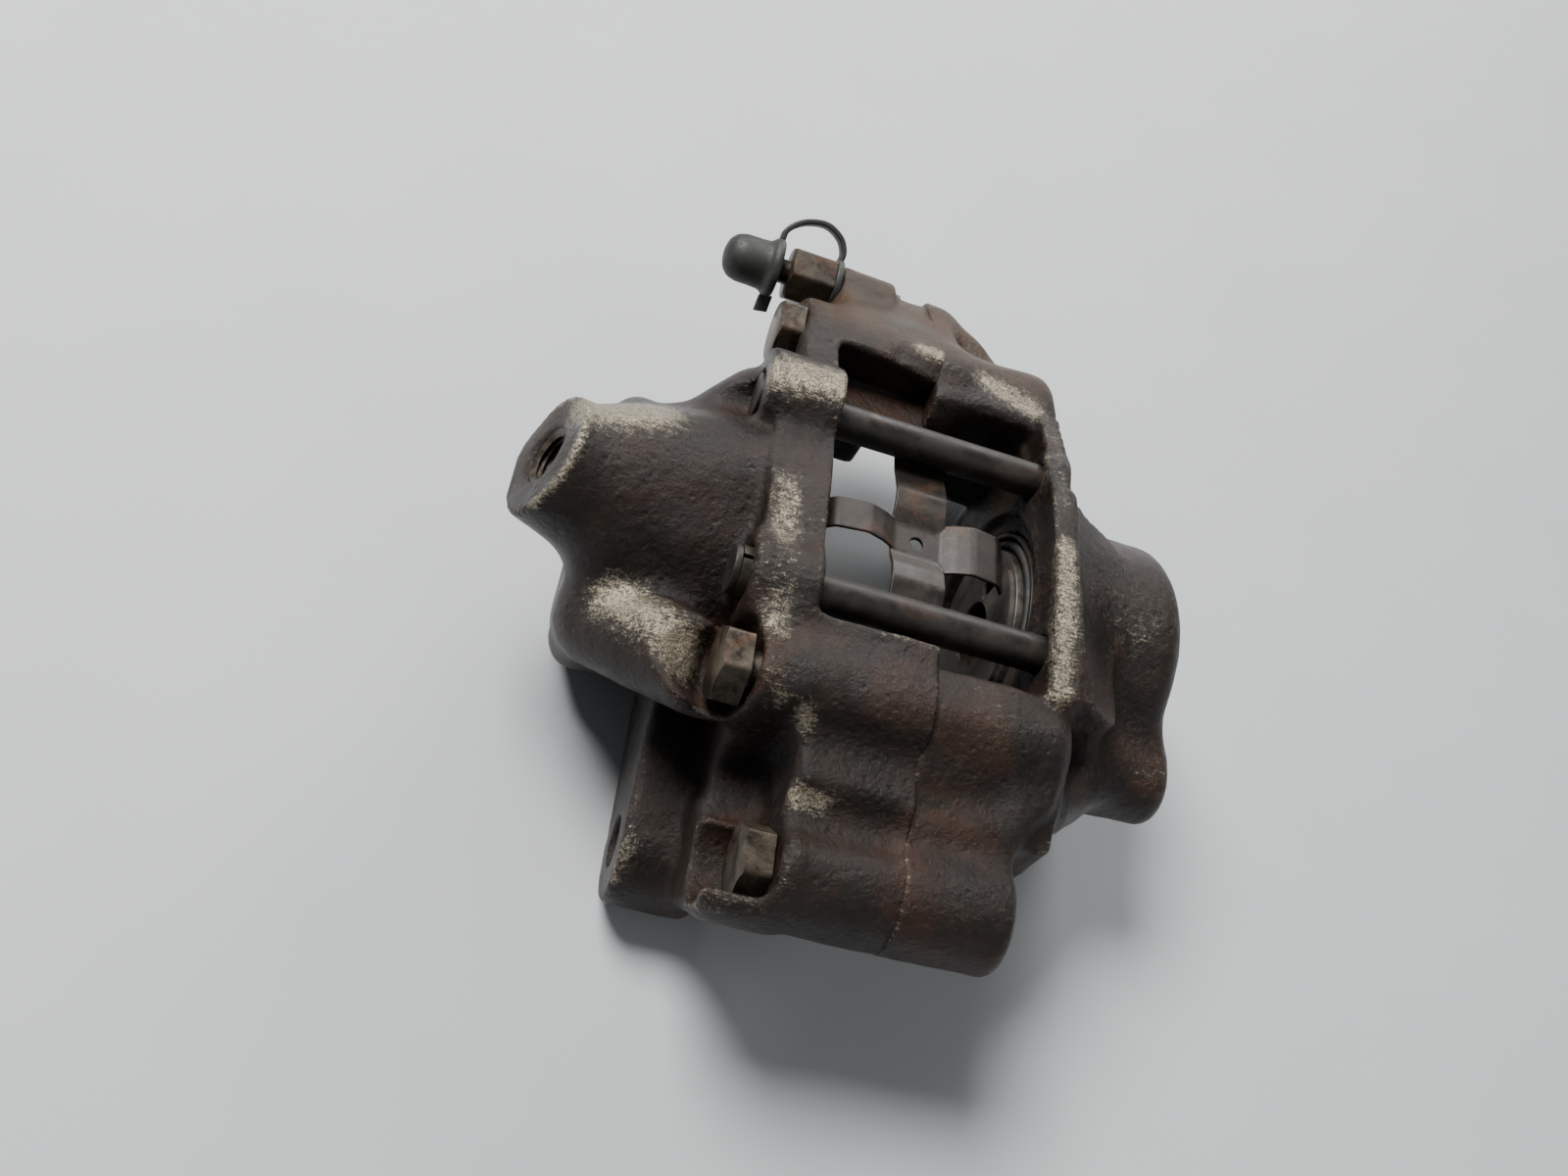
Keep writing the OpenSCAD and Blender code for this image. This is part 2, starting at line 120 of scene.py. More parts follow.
# hose port
PORT_FACE = np.array([-82.0, -5.0, 26.0])
PORT_TILT = math.radians(24.5)
PORT_AXIS = np.array([math.cos(PORT_TILT), 0.0, -math.sin(PORT_TILT)])
PORT_R = 13.5
PORT_FLARE = 4.0
PORT_BOSS_LEN = 42.0
PORT_HOLE_R = 5.25
PORT_HOLE_LEN = 15.0
THREAD_PITCH = 1.25
THREAD_START = 0.9

# bridge bolts
DEEP_X = -24.0
UP_X = -33.0
LOW_X = -36.0
BOLT_CIRCLE_R = 148.0
BOLT_UP_Y = 54.0
BOLT_MID_Y = -42.0
BOLT_FLATS = 14.0
BOLT_HEAD_H = 6.0
BOLT_SHANK_R = 4.0
BOLT_SHANK_END_X = 20.0
BOLT_TURNS = (0.12, 0.05, 0.06)
BOLT_POCKET_R = 9.0
SEAT_GAP = 0.05
END_Y = 74.0
END_R = 11.0
UPPER_ARM_AT = (50.0, 19.5)
UPPER_ARM_R = 12.3

# bleed screw, its cap and the cap's strap
BLEED_Y = 78.0
BLEED_Z = 19.5
BLEED_FLATS = 12.4
BLEED_R = 3.45
BLEED_END_X = -8.0
HEX_X = DEEP_X - 2
HEX_H = 11.0
NIPPLE_TIP_X = HEX_X - HEX_H - 9
CAP_X = HEX_X - HEX_H - 2.5
CAP_HOLE_R = 4.4
STRAP_TURN = math.radians(40)

# sheet spring
SPRING_X = -2.0
SPRING_T = 0.8
SPRING_END_Y = (-29.6, 31.0)

# the radius where a turned profile meets its axis
ON_AXIS = 0.001


def bolt_z(y):
    return DISC_Z + math.sqrt(BOLT_CIRCLE_R ** 2 - y * y)


BOLT_UP_Z = bolt_z(BOLT_UP_Y)
BOLT_MID_Z = bolt_z(BOLT_MID_Y)
END_Z = bolt_z(END_Y)

# x of the head's seat, y, z
BOLTS = [(UP_X, BOLT_UP_Y, BOLT_UP_Z), (LOW_X, BOLT_MID_Y, BOLT_MID_Z), (DEEP_X, -END_Y, END_Z)]


# ---------------------------------------------------------------- signed-distance modelling
class Field:
    """A grid of signed distances in mm. Negative is inside the metal."""

    def __init__(self, lo, hi, step, seed):
        self.lo = np.array(lo, float)
        self.step = step
        self.seed = seed
        count = [int((b - a) / step) + 1 for a, b in zip(lo, hi)]
        x, y, z = [np.float32(a) + np.float32(step) * np.arange(n, dtype=np.float32)
                   for a, n in zip(lo, count)]
        self.x = x[:, None, None]
        self.y = y[None, :, None]
        self.z = z[None, None, :]
        self.shape = tuple(count)
        self.r_disc = np.hypot(self.y, self.z - np.float32(DISC_Z))

    def lumps(self, cell_mm, amount, salt=0):
        """Smooth random unevenness with bumps about cell_mm apart."""
        rng = np.random.default_rng(self.seed * 100 + salt)
        cell = cell_mm / self.step
        out = rng.uniform(-amount, amount, [int(n / cell) + 3 for n in self.shape]).astype(np.float32)
        for axis, n in enumerate(self.shape):
            at = np.arange(n) / cell
            low = at.astype(int)
            t = (at - low).astype(np.float32)
            t = t * t * (3 - 2 * t)
            t = t.reshape([-1 if a == axis else 1 for a in range(3)])
            out = np.take(out, low, axis) * (1 - t) + np.take(out, low + 1, axis) * t
        return out


def blend_union(a, b, k):
    h = np.clip(0.5 + 0.5 * (b - a) / k, 0, 1)
    return b + (a - b) * h - k * h * (1 - h)


def blend_meet(a, b, k):
    """What a and b share, the edge between them rounded by k."""
    return -blend_union(-a, -b, k)


def blend_cut(a, b, k):
    """a with b taken away, the edge rounded by k."""
    return blend_meet(a, -b, k)


def edge_round(a, b, q):
    """Corner of two distances, rounded by q."""
    return np.hypot(np.maximum(a + q, 0), np.maximum(b + q, 0)) + np.minimum(np.maximum(a + q, b + q), 0) - q


def span(v, lo, hi):
    return np.abs(v - np.float32((lo + hi) / 2)) - np.float32((hi - lo) / 2)


def tube(f, x0, x1, r, y=0.0, z=0.0, q=1.5):
    return edge_round(np.hypot(f.y - y, f.z - z) - np.float32(r), span(f.x, x0, x1), q)


def box(f, x0, x1, y0, y1, z0, z1, q=1.5):
    flat = edge_round(span(f.y, y0, y1), span(f.z, z0, z1), q)
    return edge_round(flat, span(f.x, x0, x1), q)


def capsule(f, a, b, r1, r2):
    """A round bar from a to b whose radius goes from r1 to r2."""
    a, b = np.array(a, np.float32), np.array(b, np.float32)
    ab = b - a
    px, py, pz = f.x - a[0], f.y - a[1], f.z - a[2]
    t = np.clip((px * ab[0] + py * ab[1] + pz * ab[2]) / float(ab @ ab), 0, 1)
    away = np.sqrt((px - t * ab[0]) ** 2 + (py - t * ab[1]) ** 2 + (pz - t * ab[2]) ** 2)
    return away - (r1 + (r2 - r1) * t)


def plate_arm(f, x0, x1, a, b, r1, r2, q=2.0):
    """A rounded arm in the YZ plane between two circles, thick along X."""
    ay, az = b[0] - a[0], b[1] - a[1]
    t = np.clip(((f.y - a[0]) * ay + (f.z - a[1]) * az) / (ay * ay + az * az), 0, 1)
    flat = np.hypot(f.y - a[0] - t * ay, f.z - a[1] - t * az) - (r1 + (r2 - r1) * t)
    return edge_round(flat, span(f.x, x0, x1), q)


def frustum(f, start, axis, length, r1, r2, q=1.5):
    px, py, pz = [v - np.float32(s) for v, s in zip((f.x, f.y, f.z), start)]
    s = px * np.float32(axis[0]) + py * np.float32(axis[1]) + pz * np.float32(axis[2])
    radial = np.sqrt(np.maximum(px * px + py * py + pz * pz - s * s, 0))
    side = radial - (r1 + (r2 - r1) * np.clip(s / length, 0, 1))
    return edge_round(side, np.abs(s - length / 2) - length / 2, q)


def arc_slab(f, x0, x1, y0, y1, r_out, q=1.5):
    """A bridge over the disc: between the rim's clearance and radius r_out."""
    ring = edge_round(f.r_disc - r_out, RIM_R - f.r_disc, q)
    side = edge_round(span(f.x, x0, x1), span(f.y, y0, y1), q)
    above = -f.z - 20
    return np.maximum(edge_round(ring, side, q), above)


def blurred(d, radius):
    """Mean over a cube of 2 radius + 1 cells a side."""
    width = 2 * radius + 1
    for axis, n in enumerate(d.shape):
        pad = [(radius + 1, radius) if a == axis else (0, 0) for a in range(3)]
        total = np.cumsum(np.pad(d, pad, mode="edge"), axis=axis, dtype=np.float64)
        last = np.take(total, np.arange(width, n + width), axis)
        first = np.take(total, np.arange(n), axis)
        d = ((last - first) / width).astype(np.float32)
    return d


def mesh_from(f, d, name, worn_and_lit=(), curved_mm=2.4):
    """Meshes the field and stores how worn each point is, with painted highlights on rubbed places, and how
    deep in a hollow it lies, for dirt and painted shade.

    The rubbed places are listed as (from, to, radius, strength); they also carry painted highlights where the
    light falls.
    """
    grid = openvdb.FloatGrid(background=5.0)
    grid.copyFromArray(d)
    points, quads = grid.convertToQuads(isovalue=0.0)
    index = np.clip(np.rint(points).astype(int), 0, np.array(f.shape) - 1)
    radius = max(1, round(curved_mm / f.step))
    soft = blurred(np.clip(d, -6, 6), radius)
    at = tuple(index.T)
    curve = (soft[at] - np.clip(d, -6, 6)[at]) / curved_mm
    place = points * f.step + f.lo
    wear_and_highlight = np.clip(curve * 1.3, 0, 0.5)
    for a, b, r, strength in worn_and_lit:
        a, b = np.array(a, float), np.array(b, float)
        t = np.clip((place - a) @ (b - a) / max(1e-6, (b - a) @ (b - a)), 0, 1)
        far = np.linalg.norm(place - a - t[:, None] * (b - a), axis=1) / r
        wear_and_highlight = np.maximum(wear_and_highlight, strength * np.clip(1.3 - far, 0, 1))
    me = bpy.data.meshes.new(name)
    me.from_pydata((place * MM).tolist(), [], quads[:, ::-1].tolist())
    me.polygons.foreach_set("use_smooth", [True] * len(me.polygons))
    # the wear mask also holds painted highlights; the hollow mask darkens hollows with dirt and painted shade
    for label, values in (("wear_and_highlight", wear_and_highlight), ("hollow_dirt_and_shade", np.clip(-curve * 2.0, 0, 1))):
        me.attributes.new(label, "FLOAT", "POINT").data.foreach_set("value", values.astype(np.float32))
    me.validate()
    me.update()
    o = bpy.data.objects.new(name, me)
    bpy.context.scene.collection.objects.link(o)
    return o


# ---------------------------------------------------------------- the two castings
CAST_STEP = 0.8
CAST_BLEND = 5.0

# rubbed places of each casting, also painted highlights where the light falls, as (from, to, radius,
# strength)
WORN_AND_LIT_IN = [
    ((-76, 2, 37), (-63, 8, 33), 9, 0.95), ((-61, -28, 16), (-46, -40, 23), 7, 1.0),
    ((-40, 22, 41), (-27, 24, 41), 7, 0.85), ((-34, -3, 37), (-33, -36, 33), 5, 0.7),
    ((-33, -44, 31), (-30, -48, 30), 4, 0.8), ((-24, -46, 30), (-24, -52, 28), 3, 0.9),
    ((-24, -63, 22), (-17, -64, 23), 3.5, 0.85), ((-36, -83, 12), (-36, -78, 20), 2.5, 0.5),
    ((-8, -31, 33), (0, -31, 33), 2.5, 0.7), ((-5, 52, 33), (3, 52, 33), 4, 0.8),
    ((-48, -73, -12), (-46, -66, -5), 3, 0.6)]
WORN_AND_LIT_OUT = [
    ((27, 42, 33), (27, 10, 38), 3, 0.45), ((27, 0, 38.5), (26, -35, 35), 4, 0.8),
    ((12, 50, 32), (24, 46, 31), 5, 0.8), ((48, -8, 28), (52, -4, 22), 10, 0.4),
    ((62, -32, 12), (60, -34, 14), 6, 0.4), ((12, -40, 32), (14, -44, 31), 8, 0.3)]
PORT_RIM_WEAR_AND_LIGHT_R = 2.2
PORT_RIM_WEAR_AND_LIGHT = 0.75


def worn_and_lit_port_rim():
    """Rubbed places along the upper half of the hose port's rim, also a painted highlight where the light
    falls on it.
    """
    across = np.array([math.sin(PORT_TILT), 0, math.cos(PORT_TILT)])
    rim = [PORT_FACE + PORT_R * (math.cos(a) * np.array([0, 1, 0]) + math.sin(a) * across)
           for a in np.radians(range(0, 181, 20))]
    return [(a, b, PORT_RIM_WEAR_AND_LIGHT_R, PORT_RIM_WEAR_AND_LIGHT) for a, b in zip(rim, rim[1:])]


def sand_cast(f, d):
    """The casting's surface made uneven, in wide bumps and in small ones."""
    return d + f.lumps(9, 0.35, 1) + f.lumps(3.2, 0.12, 2)


def wall_plate(f, x0, x1, y0, y1, r_out, q):
    """A wall beside the pads, up to radius r_out."""
    return np.maximum(box(f, x0, x1, y0, y1, WALL_LOW_Z, TOP_Z, q=q), f.r_disc - r_out)


def hollowed_arm(f, x0, x1, y0, y1, r_out):
    """An arm beside the pads, up to radius r_out and hollowed next to the disc."""
    arm = np.maximum(box(f, x0, x1, y0, y1, ARM_LOW_Z, TOP_Z, q=2), f.r_disc - r_out)
    middle = math.copysign(HOLLOW_X, x0)
    hollow = np.maximum(f.r_disc - HOLLOW_R, span(f.x, middle - HOLLOW_HALF, middle + HOLLOW_HALF))
    return np.maximum(arm, -hollow)


def inboard_cylinder(f):
    """The cylinder, the ribs over its passages and the boss of the hose port."""
    d = tube(f, -END_IN, -WALL_X, CYL_R, q=7)
    d = blend_union(d, capsule(f, (-61, -27, 6), (-38, -45, 25), 10, 9), CAST_BLEND)
    d = blend_union(d, capsule(f, (-58, 8, 8), (-40, 30, 20), 12, 9), CAST_BLEND)
    boss = frustum(f, PORT_FACE, PORT_AXIS, PORT_BOSS_LEN, PORT_R, PORT_R + PORT_FLARE, q=0.7)
    d = blend_union(d, boss, 7)
    return blend_union(d, capsule(f, (-65, 0, 23), (-42, 6, 20), 11.5, 15), 6)


def add_inboard_lugs(f, d):
    for y, inner_y in ((LUG_LOW_Y, -14), (LUG_UP_Y, 14)):
        lug = plate_arm(f, LUG_FACE_X, LUG_BACK_X, (y, LUG_Z), (inner_y, -10), 12.5, 16)
        d = blend_union(d, lug, 4)
    return d


def add_inboard_walls(f, d):
    """Walls beside the window and the arms beside the pads."""
    d = blend_union(d, wall_plate(f, -38, -WALL_X, -33, 30, BRIDGE_R_IN - 2, q=1), 3)
    d = blend_union(d, wall_plate(f, UP_X, -WALL_X, 20, 47, BRIDGE_R_IN, q=1), 3)
    for x0, y0, y1 in ((LOW_X + 1, -62, WINDOW_IN[0]), (UP_X, WINDOW_IN[1], 65.5)):
        d = blend_union(d, hollowed_arm(f, x0, -DISC_HALF, y0, y1, BRIDGE_R_IN - 3), 3)
    return d


def add_inboard_lower_bridge(f, d):
    slab = arc_slab(f, LOW_X, BRIDGE_OVER_X, -END_Y, WINDOW_IN[0], BRIDGE_R_IN, q=1.2)
    d = blend_union(d, slab, 3)
    d = blend_union(d, tube(f, LOW_X, BRIDGE_OVER_X, END_R, -END_Y, END_Z, q=4), 3)
    d = blend_union(d, tube(f, LOW_X, BRIDGE_OVER_X, END_R - 2.5, BOLT_MID_Y, BOLT_MID_Z, q=3), 4)
    arm = plate_arm(f, LOW_X, -20, (LUG_LOW_Y, LUG_Z + 2), (-END_Y, END_Z), 10, END_R)
    return blend_union(d, arm, 3)


def add_inboard_upper_bridge(f, d):
    """The upper bridge, thinner at its end, and the seat of the bleed screw."""
    d = blend_union(d, arc_slab(f, UP_X, BRIDGE_OVER_X, WINDOW_IN[1], 63, UPPER_R, q=1.5), 3)
    d = blend_union(d, arc_slab(f, DEEP_X - 2, BRIDGE_OVER_X, 58, END_Y, UPPER_R, q=4), 7)
    block = plate_arm(f, UP_X, BRIDGE_OVER_X, (49, 19.8), (56, 18), 12.2, 11.4, q=1.5)
    d = blend_union(d, block, 3)
    arm = plate_arm(f, DEEP_X, BRIDGE_OVER_X, UPPER_ARM_AT, (END_Y, END_Z), UPPER_ARM_R, END_R, q=3)
    d = blend_union(d, arm, 4)
    return blend_union(d, tube(f, DEEP_X, DEEP_X + 14, 5.6, BLEED_Y, BLEED_Z, q=1), 4)


def add_inboard_pin_bosses(f, d):
    upper = tube(f, BOSS_END_X, -WALL_X + 0.5, 11, PIN_UP_Y, PIN_Z, q=1.6)
    lower = tube(f, BOSS_END_X + 3, -WALL_X, 9.5, PIN_LOW_Y, PIN_Z - 1, q=1.5)
    return blend_union(blend_union(d, upper, 2.5), lower, 3)


def cut_inboard_grooves(f, d):
    """The wavy edge of the window under the upper block, and the grooves and recess of the lower bridge."""
    d = blend_cut(d, capsule(f, (-9, 46, 36), (4, 44, 36), 4, 7), 3)
    d = blend_cut(d, capsule(f, (-24, -56, 31), (8, -56.5, 30.5), 5.2, 4.6), 4)
    d = blend_cut(d, capsule(f, (-25, -66.5, 25.2), (-4, -67, 24.5), 4.2, 3.2), 5)
    return blend_cut(d, box(f, -70, DEEP_X, -66, -51, 7, TOP_Z, q=4), 2.5)


def cut_bolt_pockets(f, d):
    up, middle, low = BOLTS
    for x, y, z in (up, low):
        d = blend_cut(d, tube(f, -70, x, BOLT_POCKET_R, y, z, q=0.8), 1)
    x, y, z = middle
    d = blend_cut(d, tube(f, -43, x, BOLT_POCKET_R, y, z, q=1), 1.5)
    d = blend_cut(d, capsule(f, (-42, -42, 27.5), (-62, -34, 44), 9, 14), 3)
    d = blend_cut(d, capsule(f, (-46, -49, 34), (LOW_X - 3, -50, 33), 5, 5), 2)
    # the low end is open above its bolt's head
    d = blend_cut(d, box(f, -70, DEEP_X, -END_Y, -51, END_Z + 1, TOP_Z, q=4), 3)
    return blend_cut(d, box(f, -70, DEEP_X, -95, -66, END_Z + 6, TOP_Z, q=3), 3)


def machine_inboard(f, d):
    """Holes of the pins, hose port, lugs and piston, and the flat faces."""
    for y in (PIN_UP_Y, PIN_LOW_Y):
        d = blend_cut(d, tube(f, -110, -WALL_X - 7, SLEEVE_R + 0.1, y, PIN_Z, q=0.1), 0.5)
        d = np.maximum(d, -tube(f, -60, 0, PIN_R + PIN_HOLE_GAP, y, PIN_Z, q=0.1))
    hole_r = PORT_HOLE_R + 0.6
    hole = frustum(f, PORT_FACE - PORT_AXIS, PORT_AXIS, PORT_HOLE_LEN + 1, hole_r, hole_r, q=0.1)
    d = blend_cut(d, hole, 1.6)
    for y in (LUG_LOW_Y, LUG_UP_Y):
        d = blend_cut(d, tube(f, -60, -20, LUG_HOLE_R, y, LUG_Z, q=0.1), 0.8)
    d = np.maximum(d, -tube(f, -58, -20, BORE_R + 0.1, q=0.1))
    d = blend_cut(d, tube(f, -31, -20, MOUTH_R, q=0.1), 0.5)
    # nothing stands in front of the lugs' faces
    at_lugs = (f.z <= -5) & (np.abs(f.y) >= 40)
    d = np.where(at_lugs, np.maximum(d, LUG_FACE_X + 0.1 - f.x), d)
    window = box(f, -WALL_X - 0.1, 30, *WINDOW_IN, 22, 70, q=0.3)
    d = blend_cut(d, window, 0.6)
    return np.maximum(d, f.x - JOINT_LAP)


def inboard_casting():
    f = Field((-87, -89, -35), (1.6, 91, 45), CAST_STEP, seed=1)
    d = inboard_cylinder(f)
    for stage in (add_inboard_lugs, add_inboard_walls, add_inboard_lower_bridge, add_inboard_upper_bridge,
                  add_inboard_pin_bosses, sand_cast, cut_inboard_grooves, cut_bolt_pockets, machine_inboard):
        d = stage(f, d)
    return mesh_from(f, d, "inboard_casting", WORN_AND_LIT_IN + worn_and_lit_port_rim())


def outboard_cylinder(f):
    """The cylinder, the sloped wall along the window, the long lobe and the rib over the passage."""
    d = tube(f, WALL_X, END_OUT, CYL_R, q=7)
    wide = box(f, WALL_X, 43, -35, 16, -28, TOP_Z, q=4)
    slope = (f.x - 30) * 0.6 + (f.z - 37) * 0.8
    d = blend_union(d, np.maximum(np.maximum(wide, slope), f.r_disc - BRIDGE_R_IN), 6)
    d = blend_union(d, wall_plate(f, WALL_X, WALL_X + 4.8, -35, 43, BRIDGE_R_IN, q=1), 2.5)
    d = blend_union(d, wall_plate(f, WALL_X, WALL_X + 9, -35, 41, 144.5, q=2), 4)
    d = blend_union(d, tube(f, WALL_X, END_OUT + 2.5, 9, -32, 6, q=4), 9)
    return blend_union(d, capsule(f, (54, -26, 3), (31, -50, 17), 7, 6), CAST_BLEND)


def add_outboard_arms(f, d):
    for y0, y1 in ((-62, WINDOW_OUT[0]), (WINDOW_OUT[1], 62)):
        d = blend_union(d, hollowed_arm(f, DISC_HALF, OUT_ARM_X + 1, y0, y1, BRIDGE_R_OUT - 3), 3)
    return d


def add_outboard_lower_bridge(f, d):
    """The lower bridge, with its outboard corner cut off at a slant."""
    low = arc_slab(f, -BRIDGE_OVER_X, OUT_ARM_X, -END_Y, WINDOW_OUT[0], BRIDGE_R_OUT, q=2)
    low = blend_union(low, tube(f, -BRIDGE_OVER_X, OUT_ARM_X, END_R, -END_Y, END_Z, q=5), 3)
    middle = tube(f, -BRIDGE_OVER_X, OUT_ARM_X, END_R - 3, BOLT_MID_Y, BOLT_MID_Z - 1, q=4)
    low = blend_union(low, middle, 4)
    slant = (f.x - OUT_ARM_X) * 0.78 + (-54 - f.y) * 0.62
    low = blend_meet(low, np.minimum(slant, f.x - 23), 3)
    return blend_union(d, low, 3)


def add_outboard_upper_bridge(f, d):
    """The upper bridge, narrowing towards its end."""
    up = arc_slab(f, -BRIDGE_OVER_X, OUT_ARM_X, WINDOW_OUT[1], END_Y, BRIDGE_R_OUT, q=2)
    up = blend_union(up, tube(f, -BRIDGE_OVER_X, OUT_ARM_X, END_R, END_Y, END_Z, q=4), 3)
    up = blend_union(up, tube(f, -BRIDGE_OVER_X, OUT_ARM_X, END_R - 3, BOLT_UP_Y, BOLT_UP_Z, q=4), 8)
    slant = (f.y - 86) * 0.78 + (f.x - 1) * 0.62
    d = blend_union(d, blend_meet(up, slant, 6), 3)
    arm = plate_arm(f, -BRIDGE_OVER_X, 7, UPPER_ARM_AT, (END_Y, END_Z), UPPER_ARM_R, END_R, q=3.5)
    return blend_union(d, arm, 4)


def add_outboard_pin_bosses(f, d):
    for y in (PIN_UP_Y, PIN_LOW_Y):
        d = blend_union(d, tube(f, WALL_X - 1, WALL_X + 5, 6.5, y, PIN_Z, q=1), 1.5)
    return d


def cut_outboard_grooves(f, d):
    """The groove of the lower bridge and the wavy edge of the window."""
    d = blend_cut(d, capsule(f, (2, -60, 28), (16, -57, 28), 3.6, 3), 4)
    return blend_cut(d, capsule(f, (-3, 45, 36), (6, 43, 36), 6, 5), 3)


def machine_outboard(f, d):
    """Holes of the pins and the piston, and the joint face."""
    for y in (PIN_UP_Y, PIN_LOW_Y):
        d = np.maximum(d, -tube(f, WALL_X - 3, WALL_X + 6, PIN_R + PIN_HOLE_GAP, y, PIN_Z, q=0.1))
    d = np.maximum(d, -tube(f, 20, 58, BORE_R + 0.1, q=0.1))
    d = blend_cut(d, tube(f, 20, 31, MOUTH_R, q=0.1), 0.5)
    d = blend_cut(d, tube(f, 20, WALL_X + 0.8, 29.5, q=0.1), 0.5)
    return np.maximum(d, -f.x - JOINT_LAP)


def outboard_casting():
    f = Field((-1.6, -89, -35), (67, 91, 41), CAST_STEP, seed=2)
    d = outboard_cylinder(f)
    for stage in (add_outboard_arms, add_outboard_lower_bridge, add_outboard_upper_bridge,
                  add_outboard_pin_bosses, sand_cast, cut_outboard_grooves, machine_outboard):
        d = stage(f, d)
    return mesh_from(f, d, "outboard_casting", WORN_AND_LIT_OUT)


# ---------------------------------------------------------------- mesh helpers for turned and bent pieces
def finish_mesh(bm, name, sharp=35):
    bmesh.ops.remove_doubles(bm, verts=bm.verts, dist=1e-4)
    bmesh.ops.recalc_face_normals(bm, faces=bm.faces)
    me = bpy.data.meshes.new(name)
    bm.to_mesh(me)
    bm.free()
    me.transform(Matrix.Scale(MM, 4))
    me.polygons.foreach_set("use_smooth", [True] * len(me.polygons))
    me.set_sharp_from_angle(angle=math.radians(sharp))
    o = bpy.data.objects.new(name, me)
    bpy.context.scene.collection.objects.link(o)
    return o


def rounded(profile, radius, steps=3):
    """A closed profile with each corner replaced by a small curve."""
    out = []
    n = len(profile)
    for i in range(n):
        before, here, after = [Vector(profile[(i + j) % n]) for j in (-1, 0, 1)]
        cut = min(radius, (before - here).length * 0.45, (after - here).length * 0.45)
        a = here + (before - here).normalized() * cut
        b = here + (after - here).normalized() * cut
        for s in range(steps + 1):
            t = s / steps
            out.append((a * (1 - t) ** 2 + here * 2 * t * (1 - t) + b * t ** 2)[:])
    return out


def turned(bm, profile, y, z, side=1, turns=96):
    """Turns a closed profile of (x, radius) points about the X-parallel axis through y, z."""
    rings = []
    for i in range(turns):
        a = 2 * math.pi * i / turns
        rings.append([bm.verts.new((side * x, y + r * math.cos(a), z + r * math.sin(a))) for x, r in profile])
    n = len(profile)
    for i in range(turns):
        one, two = rings[i], rings[(i + 1) % turns]
        for j in range(n):
            bm.faces.new((one[j], one[(j + 1) % n], two[(j + 1) % n], two[j]))
    return bm


def fix_axis(bm):
    """Closes the collapsed faces that a profile touching the axis leaves."""
    bmesh.ops.remove_doubles(bm, verts=bm.verts, dist=1e-4)
    bmesh.ops.dissolve_degenerate(bm, edges=bm.edges, dist=1e-5)
    return bm


def hex_head(bm, x0, x1, flats, y, z, turn=0.0, steps=120):
    """A hexagon head along X. Its end at x0 has a round chamfer, and its corners are a little worn."""
    corner = flats / 2 / math.cos(math.pi / 6)
    face_r = flats / 2 * 0.96
    rings = [[], [], [], []]
    for i in range(steps):
        a = 2 * math.pi * i / steps
        off = (a + math.pi / 6) % (math.pi / 3) - math.pi / 6
        r = min(flats / 2 / math.cos(math.pi / 6 - abs(off)), corner * 0.98)
        chamfer = (r - face_r) * 0.6
        for ring, x, radius in zip(rings, (x0, x0, x0 + chamfer, x1), (0.5, face_r, r, r)):
            ring.append(bm.verts.new((x, y + radius * math.cos(a + turn), z + radius * math.sin(a + turn))))
    rings.append([bm.verts.new((x1, v.co.y * 0.2 + y * 0.8, v.co.z * 0.2 + z * 0.8)) for v in rings[3]])
    for one, two in zip(rings, rings[1:]):
        for i in range(steps):
            j = (i + 1) % steps
            bm.faces.new((one[i], one[j], two[j], two[i]))
    bm.faces.new(rings[0][::-1])
    bm.faces.new(rings[-1])
    return bm


def catmull(points, steps=8):
    """A smooth curve through points."""
    pts = [Vector(points[0]) * 2 - Vector(points[1])] + [Vector(p) for p in points]
    pts.append(pts[-1] * 2 - pts[-2])
    out = []
    for i in range(1, len(pts) - 2):
        p0, p1, p2, p3 = pts[i - 1:i + 3]
        for s in range(steps):
            t = s / steps
            out.append(0.5 * ((2 * p1) + (p2 - p0) * t + (2 * p0 - 5 * p1 + 4 * p2 - p3) * t * t
                              + (3 * p1 - p0 - 3 * p2 + p3) * t ** 3))
    out.append(pts[-2])
    return out


def ribbon(bm, path, across, width, thick, corner=0.45):
    """A flat strip swept along path; across is the direction of its width."""
    across = Vector(across).normalized()
    outline = rounded([(-width / 2, -thick / 2), (width / 2, -thick / 2), (width / 2, thick / 2),
                       (-width / 2, thick / 2)], corner)
    rings = []
    for i, p in enumerate(path):
        along = (path[min(i + 1, len(path) - 1)] - path[max(i - 1, 0)]).normalized()
        up = along.cross(across).normalized()
        rings.append([bm.verts.new(p + across * a + up * b) for a, b in outline])
    n = len(outline)
    for one, two in zip(rings, rings[1:]):
        for j in range(n):
            bm.faces.new((one[j], one[(j + 1) % n], two[(j + 1) % n], two[j]))
    bm.faces.new(rings[0][::-1])
    bm.faces.new(rings[-1])
    return bm


# ---------------------------------------------------------------- smaller pieces
def bridge_bolts():
    bm = bmesh.new()
    for (x, y, z), turn in zip(BOLTS, BOLT_TURNS):
        hex_head(bm, x - BOLT_HEAD_H, x - SEAT_GAP, BOLT_FLATS, y, z, turn)
        shank = [(x - 1, ON_AXIS), (x - 1, BOLT_SHANK_R), (BOLT_SHANK_END_X, BOLT_SHANK_R),
                 (BOLT_SHANK_END_X, ON_AXIS)]
        turned(bm, rounded(shank, 0.2), y, z, turns=48)
    return finish_mesh(fix_axis(bm), "bolts_with_worn_heads")


